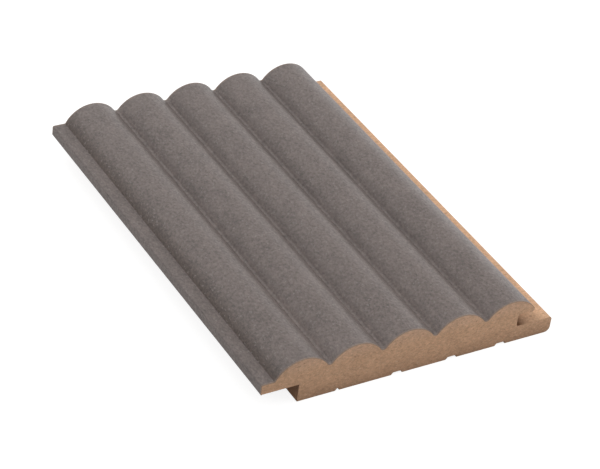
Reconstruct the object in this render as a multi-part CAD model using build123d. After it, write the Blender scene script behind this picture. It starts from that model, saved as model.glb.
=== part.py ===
from build123d import *
import math
import os

# Fluted wall panel, a short cut length. Millimetres, lying on its back.
# X runs across the flutes, Y along them, Z up from the back face.
# The section is drawn from the lip's edge at x = 0 and then centred.

# board
board_thickness = 18.0       # back face to the crest of a flute
panel_length = 162.0
film_thickness = 0.2         # decorative film, glued over the face

# flutes
flute_count = 5
flute_pitch = 20.9           # crest to crest
flute_radius = 11.7
valley_radius = 1.1          # hollow rounding between two flutes

# lip on the left edge, which slides over the next panel's tongue
lip_thickness = 4.2
lip_top = 11.4               # above the back face
lip_flat = 5.1               # from the lip's edge to the foot of the first flute
lip_reach = 14.8             # from the lip's edge to the shoulder under it
lip_edge_radius = 0.6

# slot and tongue on the right edge
gap_over_lip = 0.1           # slot's roof above the lip that it takes
slot_start = 3.15            # from the last crest to the slot's end wall
slot_corner_radius = 0.9
nose_radius = 1.0            # rounded end of the last flute, over the slot
tongue_top = 6.5             # above the back face
tongue_reach = 18.4          # from the last crest to the tongue's edge
tongue_chamfer = 0.7
tongue_back_radius = 2.1

# relief grooves in the back face, square on the right and sloped on the left
groove_depth = 0.95
groove_slope = 0.75
groove_width = 4.4           # at the back face
groove_shifts = [3.4, 2.1, 2.7]   # middle of each, left of the crest above it
kerf_width = 1.6             # the narrow groove, under the second flute
kerf_shift = 6.1

# places that follow from the sizes
flute_centre = board_thickness - flute_radius
valley_rise = math.sqrt((flute_radius + valley_radius)**2 - flute_pitch**2 / 4)
valley_turn = math.degrees(math.atan2(valley_rise, flute_pitch / 2))
foot_run = math.sqrt(flute_radius**2 - (lip_top - flute_centre)**2)
crests = [lip_flat + foot_run + i * flute_pitch for i in range(flute_count)]
lip_bottom = lip_top - lip_thickness
slot_roof = lip_top + gap_over_lip
slot_end = crests[-1] + slot_start
nose_level = slot_roof + nose_radius
nose_run = math.sqrt((flute_radius - nose_radius)**2 - (nose_level - flute_centre)**2)
panel_width = crests[-1] + tongue_reach


def arc(centre, radius, start, end):
    """Arc about a centre, from one angle to another, in degrees."""
    turns = [math.radians(a) for a in (start, (start + end) / 2, end)]
    spots = [(centre[0] + radius * math.cos(t), centre[1] + radius * math.sin(t)) for t in turns]
    return ThreePointArc(*spots)


def chain(pieces):
    """The pieces in order, with a straight line over each gap and back to the start."""
    path = []
    for piece, follower in zip(pieces, pieces[1:] + pieces[:1]):
        path.append(piece)
        if ((follower @ 0) - (piece @ 1)).length > 1e-6:
            path.append(Line(piece @ 1, follower @ 0))
    return path


def flutes(depth):
    """The flutes, left to right, at a depth below the surface, with a valley between two."""
    radius = flute_radius - depth
    foot_turn = math.degrees(math.asin((lip_top - depth - flute_centre) / radius))
    nose_turn = math.degrees(math.atan2(nose_level - flute_centre, nose_run))
    starts = [180 - foot_turn] + [180 - valley_turn] * (flute_count - 1)
    ends = [valley_turn] * (flute_count - 1) + [nose_turn]
    row = [arc((x, flute_centre), radius, a, b) for x, a, b in zip(crests, starts, ends)]
    middles = [(x + flute_pitch / 2, flute_centre + valley_rise) for x in crests[:-1]]
    sweep = (180 + valley_turn, 360 - valley_turn)
    valleys = [arc(middle, valley_radius + depth, *sweep) for middle in middles]
    nose = arc((crests[-1] + nose_run, nose_level), nose_radius - depth, nose_turn, -90)
    return [piece for pair in zip(row, valleys + [nose]) for piece in pair]


def face(depth):
    """From the lip's underside over the flutes to under the nose."""
    low = (lip_edge_radius, lip_bottom + lip_edge_radius)
    high = (lip_edge_radius, lip_top - lip_edge_radius)
    radius = lip_edge_radius - depth
    return [arc(low, radius, 270, 180), arc(high, radius, 180, 90)] + flutes(depth)


def slot_and_tongue():
    """Round the slot's end wall, over the tongue and down to the back face."""
    inner = slot_end + slot_corner_radius
    roof = arc((inner, slot_roof + film_thickness - slot_corner_radius), slot_corner_radius, 90, 180)
    floor = arc((inner, tongue_top + slot_corner_radius), slot_corner_radius, 180, 270)
    chamfer_start = (panel_width - tongue_chamfer, tongue_top)
    chamfer = Line(chamfer_start, (panel_width, tongue_top - tongue_chamfer))
    back_edge = (panel_width - tongue_back_radius, tongue_back_radius)
    return [roof, floor, chamfer, arc(back_edge, tongue_back_radius, 0, -90)]


def back_groove(middle, width):
    """One relief groove, drawn from right to left."""
    right = middle + width / 2
    left = middle - width / 2
    return Polyline((right, 0), (right, groove_depth), (left + groove_slope, groove_depth), (left, 0))


def back_grooves():
    """The grooves from right to left: the wide ones, then the narrow one."""
    places = [x - shift for x, shift in zip(crests[2:], groove_shifts)]
    wide = [back_groove(x, groove_width) for x in reversed(places)]
    return wide + [back_groove(crests[1] - kerf_shift, kerf_width)]


def shoulder():
    """Up the wall under the lip."""
    return [Line((lip_reach, 0), (lip_reach, lip_bottom + film_thickness))]


def board_outline():
    """The fibreboard's section."""
    return face(film_thickness) + slot_and_tongue() + back_grooves() + shoulder()


def film_outline():
    """The film's section: its outer face, then its glued face on the way back."""
    glued = [Edge.reversed(piece) for piece in chain(face(film_thickness))[:-1]]
    return chain(face(0))[:-1] + glued[::-1]


def panel_piece(outline):
    """A section drawn out to the panel's length, centred over its back."""
    section = Plane.XZ * make_face(chain(outline))
    return Pos(-panel_width / 2, 0, 0) * extrude(section, panel_length / 2, both=True)


pieces = {
    "mdf_board": panel_piece(board_outline()),
    "decor_film": panel_piece(film_outline()),
}
os.makedirs("parts", exist_ok=True)
for name, piece in pieces.items():
    export_step(piece, f"parts/{name}.step")
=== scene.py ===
import math
import bpy
from mathutils import Matrix, Vector


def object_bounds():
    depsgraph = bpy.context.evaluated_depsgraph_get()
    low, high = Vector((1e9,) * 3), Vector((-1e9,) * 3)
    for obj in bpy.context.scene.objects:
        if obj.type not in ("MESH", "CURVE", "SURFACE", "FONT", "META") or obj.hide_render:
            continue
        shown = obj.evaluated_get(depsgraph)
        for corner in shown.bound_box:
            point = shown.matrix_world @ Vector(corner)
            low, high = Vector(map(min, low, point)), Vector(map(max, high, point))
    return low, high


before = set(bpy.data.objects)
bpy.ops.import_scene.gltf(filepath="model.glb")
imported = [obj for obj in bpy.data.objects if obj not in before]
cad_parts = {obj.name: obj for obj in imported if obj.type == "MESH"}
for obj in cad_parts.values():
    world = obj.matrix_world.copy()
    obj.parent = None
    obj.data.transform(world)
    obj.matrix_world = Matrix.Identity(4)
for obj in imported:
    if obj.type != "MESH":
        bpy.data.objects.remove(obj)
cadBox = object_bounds()
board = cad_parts["mdf_board"]
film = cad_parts["decor_film"]
low, high = Vector(cadBox[0]), Vector(cadBox[1])

panel = {                       # places on the milled section, in metres
    "lipFlat": 0.0051,          # lip's edge to the foot of the first flute
    "lipReach": 0.0148,         # lip's edge to the wall under the lip
    "firstValley": 0.02608,     # lip's edge to the middle of the first valley
    "flutePitch": 0.0209,
    "valleyCount": 4,
    "slotDepth": 0.01525,       # tongue's edge to the slot's end wall
    "margin": 0.0001,           # takes in a recess's own end wall
}
slotEnd = high.x - panel["slotDepth"]
shoulderWall = low.x + panel["lipReach"]
print("stage 1: frame loaded")


def plug(tree, socket, value):
    # a socket is linked, a colour gets its alpha, anything else is set
    if isinstance(value, bpy.types.NodeSocket):
        tree.links.new(value, socket)
    elif socket.type == "RGBA":
        socket.default_value = (*value, 1.0)
    else:
        socket.default_value = value


def addNode(tree, kind, settings=None, **inputs):
    # an input's name has _ for a space
    node = tree.nodes.new(kind)
    for name, value in (settings or {}).items():
        setattr(node, name, value)
    for name, value in inputs.items():
        plug(tree, node.inputs[name.replace("_", " ")], value)
    return node


def calc(tree, operation, first, second=0.0):
    node = tree.nodes.new("ShaderNodeMath")
    node.operation = operation
    plug(tree, node.inputs[0], first)
    plug(tree, node.inputs[1], second)
    return node.outputs[0]


def vectorCalc(tree, operation, first, second):
    node = tree.nodes.new("ShaderNodeVectorMath")
    node.operation = operation
    plug(tree, node.inputs[0], first)
    plug(tree, node.inputs[1], second)
    return node.outputs["Value" if operation == "DISTANCE" else "Vector"]


def blend(tree, factor, first, second, mode="MIX"):
    node = tree.nodes.new("ShaderNodeMix")
    node.data_type = "RGBA"
    node.blend_type = mode
    for index, value in ((0, factor), (6, first), (7, second)):     # its factor and colour sockets
        plug(tree, node.inputs[index], value)
    return node.outputs[2]


def ramp(tree, value, start, end, first=0.0, second=1.0):
    # first below start, second above end, with a soft step between
    node = addNode(tree, "ShaderNodeMapRange", {"interpolation_type": "SMOOTHSTEP"}, Value=value,
                   From_Min=start, From_Max=end, To_Min=first, To_Max=second)
    return node.outputs["Result"]


def between(tree, value, rise, fall):
    # 1 between a soft rise and a soft fall, 0 outside them
    return calc(tree, "MULTIPLY", ramp(tree, value, *rise), ramp(tree, value, *fall, 1.0, 0.0))


def swing(tree, noise, strength):
    # a noise that runs from 0 to 1, made to swing about 0
    return calc(tree, "MULTIPLY", calc(tree, "SUBTRACT", noise, 0.5), strength)


def inverse(tree, value):
    return calc(tree, "SUBTRACT", 1.0, value)


def partsOf(tree, vector):
    return addNode(tree, "ShaderNodeSeparateXYZ", Vector=vector).outputs


def addNoise(tree, place, scale, detail, roughness=0.5):
    return addNode(tree, "ShaderNodeTexNoise", Vector=place, Scale=scale, Detail=detail, Roughness=roughness)


def newMaterial(name):
    material = bpy.data.materials.new(name)
    material.use_nodes = True
    material.node_tree.nodes.clear()
    return material, material.node_tree


def newGroup(name, inputs, outputs):
    # inputs: name, socket kind, value; outputs: name, socket kind
    group = bpy.data.node_groups.new(name, "ShaderNodeTree")
    for label, kind, value in inputs:
        socket = group.interface.new_socket(label, in_out="INPUT", socket_type="NodeSocket" + kind)
        if value is not None:
            socket.default_value = value
    for label, kind in outputs:
        group.interface.new_socket(label, in_out="OUTPUT", socket_type="NodeSocket" + kind)
    return group, group.nodes.new("NodeGroupInput").outputs, group.nodes.new("NodeGroupOutput").inputs


def placeGroup(tree, group, values):
    node = tree.nodes.new("ShaderNodeGroup")
    node.node_tree = group
    for name, value in values.items():
        plug(tree, node.inputs[name], value)
    return node.outputs


fleckPattern = {
    "turn": (0.62, 0.47, 0.83),     # radians, so that no cut follows the noise's own grid
    "grainDetail": 6.0,
    "grainRoughness": 0.66,
    "slowScale": 0.12,              # this scale and the next two are times the grain's
    "powderScale": 5.0,
    "fleckScale": 1.1,
    "fineDetail": 2.0,
    "powderRoughness": 0.6,
    "fleckWander": 2.4,             # in grain sizes, breaks the flecks' round shape
    "fleckCore": (0.15, 0.5),       # full in a fleck's middle, gone at its edge
    "fleckDip": 0.25,               # dark flecks lie lower
    "powderHeight": 0.35,
}

fleckInputs = [
    ("Place", "Vector", None),
    ("Body", "Color", (0.5, 0.5, 0.5, 1.0)),
    ("Dark Fleck", "Color", (0.1, 0.1, 0.1, 1.0)),
    ("Light Fleck", "Color", (0.9, 0.9, 0.9, 1.0)),
    ("Grain Size", "Float", 0.001),
    ("Mottle", "Float", 0.5),
    ("Powder", "Float", 0.2),
    ("Drift", "Float", 0.1),
    ("Hue Shift", "Float", 0.1),
    ("Dark Share", "Float", 0.3),
    ("Dark Strength", "Float", 0.2),
    ("Light Share", "Float", 0.3),
    ("Light Strength", "Float", 0.2),
]


def makeFleckGroup(pattern):
    # a body colour with a fine mottle, a slow drift of tone and hue, and dark and light flecks
    group, given, result = newGroup("fleckedColour", fleckInputs, [("Color", "Color"), ("Height", "Float")])
    place = addNode(group, "ShaderNodeMapping", Vector=given["Place"], Rotation=pattern["turn"]).outputs[0]
    perMetre = calc(group, "DIVIDE", 1.0, given["Grain Size"])
    grains = addNoise(group, place, perMetre, pattern["grainDetail"], pattern["grainRoughness"])
    grain = grains.outputs["Fac"]
    slowScale = calc(group, "MULTIPLY", perMetre, pattern["slowScale"])
    slow = addNoise(group, place, slowScale, pattern["fineDetail"]).outputs["Fac"]
    powderScale = calc(group, "MULTIPLY", perMetre, pattern["powderScale"])
    powders = addNoise(group, place, powderScale, pattern["fineDetail"], pattern["powderRoughness"])
    powder = powders.outputs["Fac"]
    mottle = calc(group, "ADD", 1.0, swing(group, grain, given["Mottle"]))
    drift = calc(group, "ADD", swing(group, slow, given["Drift"]), swing(group, powder, given["Powder"]))
    tone = calc(group, "ADD", mottle, drift)
    offGrey = vectorCalc(group, "SUBTRACT", grains.outputs["Color"], (0.5, 0.5, 0.5))
    hue = vectorCalc(group, "MULTIPLY", offGrey, given["Hue Shift"])
    colour = blend(group, 1.0, given["Body"], vectorCalc(group, "ADD", hue, tone), "MULTIPLY")

    wander = calc(group, "MULTIPLY", given["Grain Size"], pattern["fleckWander"])
    fleckPlace = vectorCalc(group, "ADD", place, vectorCalc(group, "MULTIPLY", offGrey, wander))
    fleckScale = calc(group, "MULTIPLY", perMetre, pattern["fleckScale"])
    cells = addNode(group, "ShaderNodeTexVoronoi", Vector=fleckPlace, Scale=fleckScale, Randomness=1.0)
    core = ramp(group, cells.outputs["Distance"], *pattern["fleckCore"], 1.0, 0.0)
    pick = addNode(group, "ShaderNodeSeparateColor", Color=cells.outputs["Color"]).outputs[0]
    isDark = calc(group, "GREATER_THAN", pick, inverse(group, given["Dark Share"]))
    isLight = calc(group, "LESS_THAN", pick, given["Light Share"])
    dark = calc(group, "MULTIPLY", core, isDark)
    light = calc(group, "MULTIPLY", core, isLight)
    darkCover = calc(group, "MULTIPLY", dark, given["Dark Strength"])
    lightCover = calc(group, "MULTIPLY", light, given["Light Strength"])
    colour = blend(group, darkCover, colour, given["Dark Fleck"])
    colour = blend(group, lightCover, colour, given["Light Fleck"])
    group.links.new(colour, result["Color"])

    height = calc(group, "SUBTRACT", grain, calc(group, "MULTIPLY", dark, pattern["fleckDip"]))
    height = calc(group, "ADD", height, calc(group, "MULTIPLY", powder, pattern["powderHeight"]))
    group.links.new(height, result["Height"])
    return group


fleckGroup = makeFleckGroup(fleckPattern)


def addFlecks(tree, place, body, look):
    values = {
        "Place": place,
        "Body": body,
        "Dark Fleck": look["darkFleck"],
        "Light Fleck": look["lightFleck"],
        "Grain Size": look["grainSize"],
        "Mottle": look["mottle"],
        "Powder": look["powder"],
        "Drift": look["drift"],
        "Hue Shift": look["hueShift"],
        "Dark Share": look["darkShare"],
        "Dark Strength": look["darkStrength"],
        "Light Share": look["lightShare"],
        "Light Strength": look["lightStrength"],
    }
    made = placeGroup(tree, fleckGroup, values)
    return made["Color"], made["Height"]


fray = {"scale": 1400.0, "detail": 2.0}     # how the front of dust and torn fibres wanders

endInputs = [
    ("Place", "Vector", None),
    ("Facing", "Vector", None),
    ("Half Length", "Float", 0.08),
    ("Reach", "Float", 0.001),
]


def makeEndGroup():
    # Cut is 1 on the sawn ends themselves, and Rub fades from 1 at them to 0, with an uneven front
    group, given, result = newGroup("sawnEnd", endInputs, [("Cut", "Float"), ("Rub", "Float")])
    facing = calc(group, "ABSOLUTE", partsOf(group, given["Facing"])["Y"])
    group.links.new(calc(group, "GREATER_THAN", facing, 0.5), result["Cut"])
    along = calc(group, "ABSOLUTE", partsOf(group, given["Place"])["Y"])
    inward = calc(group, "SUBTRACT", given["Half Length"], along)
    noise = addNoise(group, given["Place"], fray["scale"], fray["detail"]).outputs["Fac"]
    wander = swing(group, noise, given["Reach"])
    depth = calc(group, "DIVIDE", calc(group, "ADD", inward, wander), given["Reach"])
    group.links.new(ramp(group, depth, 0.0, 1.0, 1.0, 0.0), result["Rub"])
    return group


endGroup = makeEndGroup()


def addSawnEnd(tree, texture, reach):
    values = {
        "Place": texture.outputs["Object"],
        "Facing": texture.outputs["Normal"],
        "Half Length": high.y,
        "Reach": reach,
    }
    made = placeGroup(tree, endGroup, values)
    return made["Cut"], made["Rub"]


filmLook = {
    "body": (0.155, 0.1265, 0.1165),        # taupe grey of the print
    "darkFleck": (0.069, 0.056, 0.052),
    "lightFleck": (0.268, 0.239, 0.226),
    "grainSize": 0.0009,                    # metres
    "printGrain": (1.0, 0.78, 1.0),         # drawn out a little along the flutes
    "mottle": 1.62,
    "powder": 0.8,
    "drift": 0.42,
    "hueShift": 0.12,
    "darkShare": 0.24,
    "darkStrength": 0.32,
    "lightShare": 0.20,
    "lightStrength": 0.50,
    "rubColour": (0.36, 0.25, 0.175),       # board dust dragged over the cut edge
    "rubReach": 0.0009,
    "rubStrength": 0.45,
    "rubRoughness": 0.8,
    "cutColour": (0.38, 0.27, 0.20),        # the film's own sawn edge, full of board dust
    "cutStrength": 0.6,
    "paintedCreaseShade": (0.585, 0.54, 0.505),    # painted shade in the fold by the lip
    "creaseReach": (0.0003, 0.0044),        # out over the lip, and up the flute
    # bands of painted shade and painted light along each valley, placed by the distance to the right of its
    # middle:
    # a band's change in the first valley, and what each next valley adds to it
    "leftFootPaintedShade": {"change": -0.06, "step": -0.05, "rise": (-0.0052, -0.0033), "fall": (-0.0026, -0.0012)},
    "valleyPaintedLight": {"change": 0.13, "step": -0.035, "rise": (-0.0015, 0.0), "fall": (0.0011, 0.0019)},
    "rightFootPaintedShade": {"change": -0.07, "step": 0.0, "rise": (0.0013, 0.0021), "fall": (0.0024, 0.0038)},
    "sawEndPaintedLight": {"change": 0.12, "step": 0.0, "rise": (-0.0045, -0.0020), "fall": (0.0025, 0.0055)},
    "sawEndLightReach": 0.07,                   # along the valley, from the near sawn end
    "noseReach": (0.1008, 0.1052),          # towards the slot, from the lip's edge
    "nosePaintedSheen": (0.13, 0.17, 0.21),         # painted sheen, paler over the nose
    "roughness": (0.56, 0.44),              # over low and high grain
    "grainRange": (0.45, 0.90),             # heights that count as low and high grain
    "specular": 0.32,                       # a dull, suede-like print
    "bumpHeight": 0.00003,
}


def addCrease(tree, place, look):
    # 1 in the fold between the lip and the first flute, the mask of the painted shade there
    fold = low.x + panel["lipFlat"]
    before, after = look["creaseReach"]
    return between(tree, partsOf(tree, place)["X"], (fold - before, fold), (fold, fold + after))


def addValleys(tree, place, look):
    # tone in the valleys: painted light in the middle, painted shade on the foot of the flute on both sides,
    # and more painted light towards the near sawn end
    spot = partsOf(tree, place)
    across = calc(tree, "SUBTRACT", spot["X"], low.x + panel["firstValley"])
    count = calc(tree, "DIVIDE", across, panel["flutePitch"])
    index = calc(tree, "ROUND", count)
    right = calc(tree, "MULTIPLY", calc(tree, "SUBTRACT", count, index), panel["flutePitch"])
    near = ramp(tree, spot["Y"], low.y, low.y + look["sawEndLightReach"], 1.0, 0.0)
    change = 0.0
    for name, share in (("leftFootPaintedShade", 1.0), ("valleyPaintedLight", 1.0), ("rightFootPaintedShade", 1.0), ("sawEndPaintedLight", near)):
        band = look[name]
        strength = calc(tree, "ADD", band["change"], calc(tree, "MULTIPLY", index, band["step"]))
        cover = calc(tree, "MULTIPLY", between(tree, right, band["rise"], band["fall"]), share)
        change = calc(tree, "ADD", change, calc(tree, "MULTIPLY", cover, strength))
    halfCount = panel["valleyCount"] / 2
    fromMiddle = calc(tree, "ABSOLUTE", calc(tree, "SUBTRACT", count, halfCount - 0.5))
    change = calc(tree, "MULTIPLY", change, calc(tree, "LESS_THAN", fromMiddle, halfCount))
    return calc(tree, "ADD", 1.0, change)


def addNose(tree, place, look):
    # tone of the last flute, a painted sheen that grows paler as it turns down to the slot
    start, end = look["noseReach"]
    sheenCover = ramp(tree, partsOf(tree, place)["X"], low.x + start, low.x + end)
    return vectorCalc(tree, "ADD", vectorCalc(tree, "MULTIPLY", sheenCover, look["nosePaintedSheen"]), (1.0, 1.0, 1.0))


def makeFilmMaterial(look):
    material, tree = newMaterial("wrapFilm")
    texture = addNode(tree, "ShaderNodeTexCoord")
    place = texture.outputs["Object"]
    # painted shade in the fold between the lip and the first flute
    shade = blend(tree, addCrease(tree, place, look), (1.0, 1.0, 1.0), look["paintedCreaseShade"])
    body = blend(tree, 1.0, look["body"], shade, "MULTIPLY")
    # painted shade and painted light in the valleys
    body = blend(tree, 1.0, body, addValleys(tree, place, look), "MULTIPLY")
    # painted sheen over the last flute's turn down to the slot
    body = blend(tree, 1.0, body, addNose(tree, place, look), "MULTIPLY")
    grainPlace = vectorCalc(tree, "MULTIPLY", place, look["printGrain"])
    colour, height = addFlecks(tree, grainPlace, body, look)
    cut, rub = addSawnEnd(tree, texture, look["rubReach"])
    colour = blend(tree, calc(tree, "MULTIPLY", rub, look["rubStrength"]), colour, look["rubColour"])
    colour = blend(tree, calc(tree, "MULTIPLY", cut, look["cutStrength"]), colour, look["cutColour"])
    roughness = ramp(tree, height, *look["grainRange"], *look["roughness"])
    roughness = calc(tree, "MAXIMUM", roughness, calc(tree, "MULTIPLY", rub, look["rubRoughness"]))
    bump = addNode(tree, "ShaderNodeBump", Height=height, Distance=look["bumpHeight"], Strength=1.0)
    shader = addNode(tree, "ShaderNodeBsdfPrincipled", Base_Color=colour, Roughness=roughness,
                     Specular_IOR_Level=look["specular"], Normal=bump.outputs[0])
    addNode(tree, "ShaderNodeOutputMaterial", Surface=shader.outputs[0])
    return material


boardLook = {
    "cut": [                                # colours of the sawn end, by height over the back
        (0.0000, (0.374, 0.225, 0.141)),
        (0.0022, (0.481, 0.291, 0.182)),
        (0.0060, (0.588, 0.359, 0.226)),
        (0.0120, (0.600, 0.371, 0.235)),
        (0.0145, (0.632, 0.401, 0.264)),
        (0.0170, (0.600, 0.384, 0.262)),
    ],
    "milled": (0.690, 0.418, 0.256),        # cutter-smooth faces, lighter
    "back": (0.52, 0.335, 0.215),           # pressed skin of the board
    "backSkin": 0.0002,                     # faces that look down below this height are the back
    "darkFleck": (0.24, 0.125, 0.068),
    "lightFleck": (0.86, 0.62, 0.44),
    "grainSize": 0.0009,
    "mottle": 1.0,
    "powder": 0.55,
    "drift": 0.32,
    "hueShift": 0.07,
    "darkShare": 0.14,
    "darkStrength": 0.42,
    "lightShare": 0.22,
    "lightStrength": 0.22,
    "sawnGrain": (0.7, 1.0, 1.15),          # fibres lie flat in the board
    "specular": 0.14,
    "fibreScale": 900.0,
    "fibreStretch": (1.0, 1.0, 2.0),
    "fibreWidth": 0.035,
    "fibrePatchScale": 1.3,                 # times the fibres' own scale
    "fibrePatch": (0.48, 0.58),             # noise at which fibres begin to show, and show fully
    "paleFibre": {"turn": (0.4, 0.5, 0.3), "colour": (0.84, 0.64, 0.47), "strength": 0.34},
    "darkFibre": {"turn": (1.1, -0.3, 0.9), "colour": (0.25, 0.14, 0.08), "strength": 0.28},
    "streakTone": 0.10,                     # cutter streaks along the milled faces
    "streakScale": 1500.0,
    "streakStretch": (1.0, 0.02, 1.0),
    "fuzzColour": (0.54, 0.34, 0.215),      # torn fibres beside the saw cut
    "fuzzStrength": 0.7,
    "fuzzReach": 0.007,
    "paintedRecessShade": (0.11, 0.040, 0.012),   # painted shade deep in the slot and the rebate
    "slotStrength": 0.95,                   # at the end wall
    "slotFade": (0.0005, 0.0064),           # out from the end wall
    "mouthStrength": 0.24,                  # over the tongue, under the nose
    "mouthFade": (0.0092, 0.0116),          # out from the end wall
    "rebateStrength": (0.66, 0.92),         # at the sawn end, and deeper in
    "rebateReach": 0.009,
    "sawnRoughness": 0.9,
    "milledRoughness": 0.72,
    "backRoughness": 0.55,
    "bumpHeight": 0.00009,
    "sawPitch": 0.0019,                     # faint, broken arcs left by the blade
    "sawCentre": (-0.16, 0.0, -0.09),
    "sawHeight": 0.000012,
    "sawPatchScale": 90.0,
    "sawPatch": (0.45, 0.70),               # noise at which the arcs begin to show, and show fully
}


def addBackMask(tree, texture, look):
    # the pressed back skin, and the height over it
    facing = partsOf(tree, texture.outputs["Normal"])["Z"]
    level = partsOf(tree, texture.outputs["Object"])["Z"]
    under = calc(tree, "LESS_THAN", facing, -0.5)
    return calc(tree, "MULTIPLY", under, calc(tree, "LESS_THAN", level, look["backSkin"])), level


def sawArcs(tree, place, look):
    # rings about the blade's centre, seen on the cut as shallow arcs
    level = vectorCalc(tree, "MULTIPLY", place, (1.0, 0.0, 1.0))
    reach = vectorCalc(tree, "DISTANCE", level, look["sawCentre"])
    arcs = calc(tree, "SINE", calc(tree, "MULTIPLY", reach, 2 * math.pi / look["sawPitch"]))
    patch = addNoise(tree, place, look["sawPatchScale"], 1.0).outputs["Fac"]
    return calc(tree, "MULTIPLY", arcs, ramp(tree, patch, *look["sawPatch"]))


def addStops(tree, value, stops):
    # a colour that changes with a length in metres
    last = stops[-1][0]
    node = addNode(tree, "ShaderNodeValToRGB", Fac=calc(tree, "DIVIDE", value, last))
    marks = node.color_ramp.elements
    while len(marks) < len(stops):
        marks.new(1.0)
    for mark, (distance, colour) in zip(marks, stops):
        mark.position = distance / last
        mark.color = (*colour, 1.0)
    return node.outputs["Color"]


def addFibres(tree, place, look, turn):
    # short wavy hairs, where a second noise lets them show
    turned = addNode(tree, "ShaderNodeMapping", Vector=place, Rotation=turn,
                     Scale=look["fibreStretch"]).outputs[0]
    wave = addNoise(tree, turned, look["fibreScale"], 1.0).outputs["Fac"]
    away = calc(tree, "ABSOLUTE", calc(tree, "SUBTRACT", wave, 0.5))
    hair = ramp(tree, away, 0.0, look["fibreWidth"], 1.0, 0.0)
    patchScale = look["fibreScale"] * look["fibrePatchScale"]
    patch = addNoise(tree, turned, patchScale, 0.0).outputs["Fac"]
    return calc(tree, "MULTIPLY", hair, ramp(tree, patch, *look["fibrePatch"]))


def addRecessShade(tree, place, look):
    # painted shade: strongest at the slot's end wall and at the wall under the lip, 0 out in the open
    spot = partsOf(tree, place)
    across = spot["X"]
    outward = calc(tree, "SUBTRACT", across, slotEnd)
    deep = ramp(tree, outward, *look["slotFade"], look["slotStrength"], 0.0)
    mouth = ramp(tree, outward, *look["mouthFade"], look["mouthStrength"], 0.0)
    inSlot = calc(tree, "GREATER_THAN", across, slotEnd - panel["margin"])
    slot = calc(tree, "MULTIPLY", calc(tree, "MAXIMUM", deep, mouth), inSlot)
    inward = calc(tree, "SUBTRACT", high.y, calc(tree, "ABSOLUTE", spot["Y"]))
    underLip = calc(tree, "LESS_THAN", across, shoulderWall + panel["margin"])
    rebate = calc(tree, "MULTIPLY", ramp(tree, across, low.x, shoulderWall),
                  ramp(tree, inward, 0.0, look["rebateReach"], *look["rebateStrength"]))
    return calc(tree, "MAXIMUM", slot, calc(tree, "MULTIPLY", rebate, underLip))


def makeBoardMaterial(look):
    material, tree = newMaterial("rawFibreboard")
    texture = addNode(tree, "ShaderNodeTexCoord")
    place = texture.outputs["Object"]
    sawn, fuzz = addSawnEnd(tree, texture, look["fuzzReach"])
    back, level = addBackMask(tree, texture, look)
    fuzzCover = calc(tree, "MULTIPLY", fuzz, look["fuzzStrength"])
    body = blend(tree, fuzzCover, look["milled"], look["fuzzColour"])
    body = blend(tree, back, body, look["back"])
    alongCutter = vectorCalc(tree, "MULTIPLY", place, look["streakStretch"])
    streak = addNoise(tree, alongCutter, look["streakScale"], 2.0).outputs["Fac"]
    streaks = calc(tree, "MULTIPLY", swing(tree, streak, 2 * look["streakTone"]), inverse(tree, sawn))
    body = blend(tree, 1.0, body, calc(tree, "ADD", 1.0, streaks), "MULTIPLY")
    body = blend(tree, sawn, body, addStops(tree, level, look["cut"]))
    grainPlace = vectorCalc(tree, "MULTIPLY", place, look["sawnGrain"])
    colour, height = addFlecks(tree, grainPlace, body, look)
    for fibre in (look["paleFibre"], look["darkFibre"]):
        hairs = calc(tree, "MULTIPLY", addFibres(tree, place, look, fibre["turn"]), fibre["strength"])
        colour = blend(tree, hairs, colour, fibre["colour"])
    outside = calc(tree, "MAXIMUM", sawn, back)
    # painted shade in the slot and the rebate, kept off the sawn end and the back skin
    recess = calc(tree, "MULTIPLY", addRecessShade(tree, place, look), inverse(tree, outside))
    colour = blend(tree, recess, colour, look["paintedRecessShade"])

    smooth = calc(tree, "MULTIPLY", back, look["backRoughness"] - look["milledRoughness"])
    coarse = calc(tree, "MULTIPLY", sawn, look["sawnRoughness"] - look["milledRoughness"])
    roughness = calc(tree, "ADD", calc(tree, "ADD", look["milledRoughness"], smooth), coarse)
    arcShare = look["sawHeight"] / look["bumpHeight"]
    arcs = calc(tree, "MULTIPLY", calc(tree, "MULTIPLY", sawArcs(tree, place, look), sawn), arcShare)
    bump = addNode(tree, "ShaderNodeBump", Height=calc(tree, "ADD", height, arcs),
                   Distance=look["bumpHeight"], Strength=1.0)
    shader = addNode(tree, "ShaderNodeBsdfPrincipled", Base_Color=colour, Roughness=roughness,
                     Specular_IOR_Level=look["specular"], Normal=bump.outputs[0])
    addNode(tree, "ShaderNodeOutputMaterial", Surface=shader.outputs[0])
    return material


def dress(piece, material):
    for slot in piece.material_slots:
        slot.material = material


dress(film, makeFilmMaterial(filmLook))
dress(board, makeBoardMaterial(boardLook))
print("stage 2: board and film finished")

stageLook = {
    "floorColour": (0.3, 0.3, 0.3),
    "floorSize": 4.0,
    "floorGap": 0.00002,        # under the board's back, so that the faces don't coincide
    "floorLift": 0.85,          # added for the camera, so that lit floor is white
    "horizonStrength": 0.61,
    "zenithStrength": 0.76,
}


def addSeenMask(tree):
    # rays that should meet the white surround: camera, reflected and transmitted ones
    rays = addNode(tree, "ShaderNodeLightPath")
    seen = calc(tree, "MAXIMUM", rays.outputs["Is Camera Ray"], rays.outputs["Is Glossy Ray"])
    return calc(tree, "MAXIMUM", seen, rays.outputs["Is Transmission Ray"])


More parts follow.
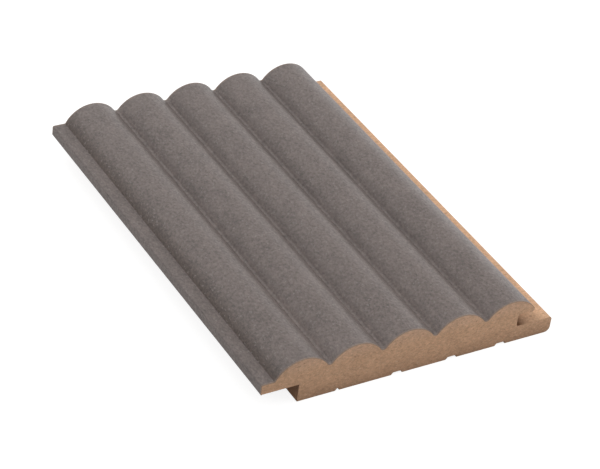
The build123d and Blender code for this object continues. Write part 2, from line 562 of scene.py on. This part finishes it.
def makeFloor(look):
    half = look["floorSize"] / 2
    level = low.z - look["floorGap"]
    corners = [(-half, -half, level), (half, -half, level), (half, half, level), (-half, half, level)]
    mesh = bpy.data.meshes.new("studioFloor")
    mesh.from_pydata(corners, [], [(0, 1, 2, 3)])
    floor = bpy.data.objects.new("studioFloor", mesh)
    bpy.context.scene.collection.objects.link(floor)
    material, tree = newMaterial("floorPaper")
    lift = calc(tree, "MULTIPLY", addSeenMask(tree), look["floorLift"])
    paper = addNode(tree, "ShaderNodeBsdfDiffuse", Color=look["floorColour"])
    glow = addNode(tree, "ShaderNodeEmission", Strength=lift)
    both = addNode(tree, "ShaderNodeAddShader")
    tree.links.new(paper.outputs[0], both.inputs[0])
    tree.links.new(glow.outputs[0], both.inputs[1])
    addNode(tree, "ShaderNodeOutputMaterial", Surface=both.outputs[0])
    mesh.materials.append(material)


def makeSky(look):
    world = bpy.data.worlds.new("studioSky")
    bpy.context.scene.world = world
    world.use_nodes = True
    tree = world.node_tree
    tree.nodes.clear()
    direction = addNode(tree, "ShaderNodeTexCoord").outputs["Generated"]
    height = partsOf(tree, direction)["Z"]
    glow = ramp(tree, height, 0.0, 1.0, look["horizonStrength"], look["zenithStrength"])
    strength = calc(tree, "MAXIMUM", addSeenMask(tree), glow)
    sky = addNode(tree, "ShaderNodeBackground", Color=(1.0, 1.0, 1.0), Strength=strength)
    addNode(tree, "ShaderNodeOutputWorld", Surface=sky.outputs[0])


softboxes = {
    "softboxBackLeft": {"azimuth": 225, "elevation": 26, "distance": 1.4, "size": 0.8, "watts": 2.88},
    "softboxRear": {"azimuth": 133, "elevation": 14, "distance": 2.0, "size": 1.2, "watts": 4.0},
    "softboxBack": {"azimuth": 180, "elevation": 35, "distance": 1.2, "size": 0.8, "watts": 2.6},
    "softboxFrontRight": {"azimuth": 50, "elevation": 25, "distance": 0.4, "size": 0.25, "watts": 0.33},
}


def towards(azimuth, elevation):
    # unit vector from the object to a viewer or lamp; azimuth 0 is the -Y side
    a, e = math.radians(azimuth), math.radians(elevation)
    return Vector((math.sin(a) * math.cos(e), -math.cos(a) * math.cos(e), math.sin(e)))


def addSoftboxes():
    for name, box in softboxes.items():
        light = bpy.data.lights.new(name, "AREA")
        light.size = box["size"]
        light.energy = box["watts"]
        lamp = bpy.data.objects.new(name, light)
        back = towards(box["azimuth"], box["elevation"])
        lamp.location = back * box["distance"]
        lamp.rotation_euler = back.to_track_quat("Z", "Y").to_euler()
        bpy.context.scene.collection.objects.link(lamp)


cameraView = {
    "azimuth": -34.369,
    "elevation": 35.664,
    "roll": 8.049,
    "lens": 142.24,             # millimetres, as the sensor's width
    "sensorWidth": 36.0,
    "distance": 0.85195,
    "nearClip": 0.01,
    "aim": (-0.00241, -0.00826, 0.008),
}


def addCamera(view):
    lens = bpy.data.cameras.new("photoCamera")
    lens.lens = view["lens"]
    lens.sensor_width = view["sensorWidth"]
    lens.clip_start = view["nearClip"]
    camera = bpy.data.objects.new("photoCamera", lens)
    back = towards(view["azimuth"], view["elevation"])
    level = Vector((0, 0, 1)).cross(back).normalized()
    upright = back.cross(level)
    turn = math.radians(view["roll"])
    right = math.cos(turn) * level + math.sin(turn) * upright
    up = back.cross(right)
    place = Vector(view["aim"]) + back * view["distance"]
    axes = Matrix((right, up, back)).transposed().to_4x4()
    camera.matrix_world = Matrix.Translation(place) @ axes
    bpy.context.scene.collection.objects.link(camera)
    bpy.context.scene.camera = camera


makeFloor(stageLook)
makeSky(stageLook)
addSoftboxes()
addCamera(cameraView)
bpy.context.scene.view_settings.view_transform = "Standard"
print("stage 3: floor, light and camera set")
